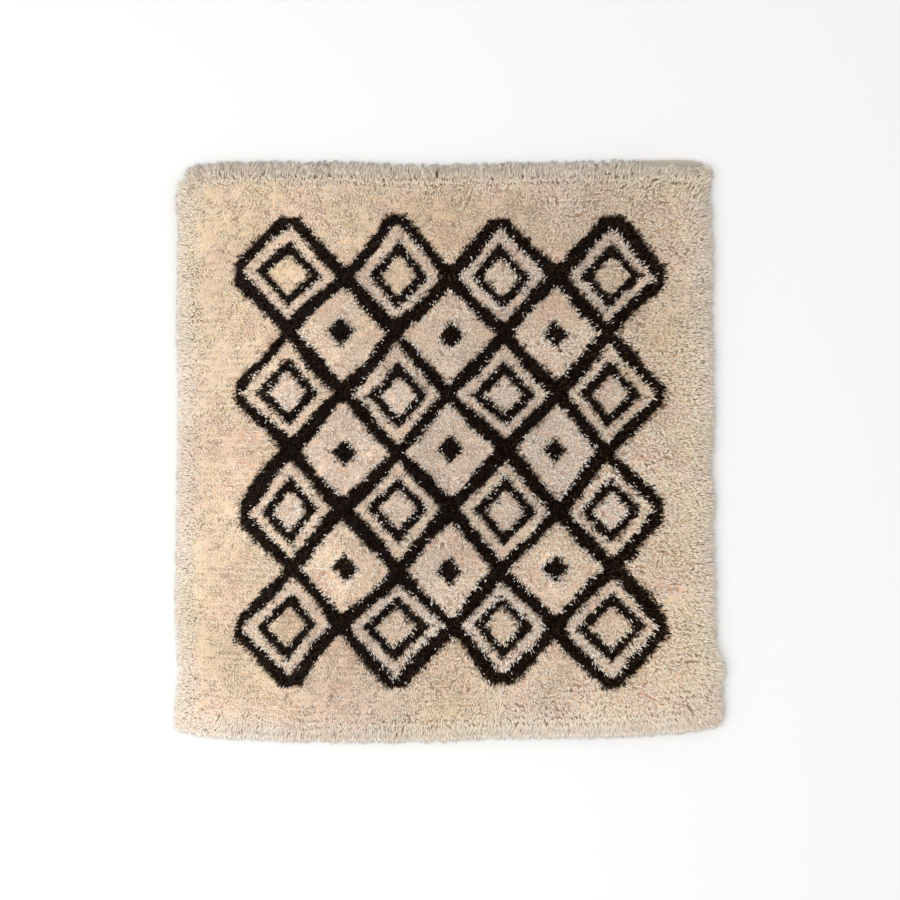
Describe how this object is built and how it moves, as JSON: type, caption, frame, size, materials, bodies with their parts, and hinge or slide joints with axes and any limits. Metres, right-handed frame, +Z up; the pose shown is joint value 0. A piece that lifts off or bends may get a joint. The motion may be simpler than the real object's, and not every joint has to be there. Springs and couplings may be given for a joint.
{
  "type": "rya rug",
  "caption": "Nearly square wool rug with a long knotted pile, a soft ragged rim and a strip of bare weave at one end, laid flat on a floor.",
  "frame": {"origin": "middle of the rug's bounding box, on its underside", "axes": "+Z up through the pile, +Y along the warp towards the end where a strip of bare weave shows, +X along the weft"},
  "size_m": [1.4338, 1.5164, 0.0448],
  "materials": {
    "wool": "long undyed wool pile, matt, with dark brown figures knotted into it"
  },
  "bodies": {
    "root": {"rya_rug": "wool"}
  },
  "joints": []
}
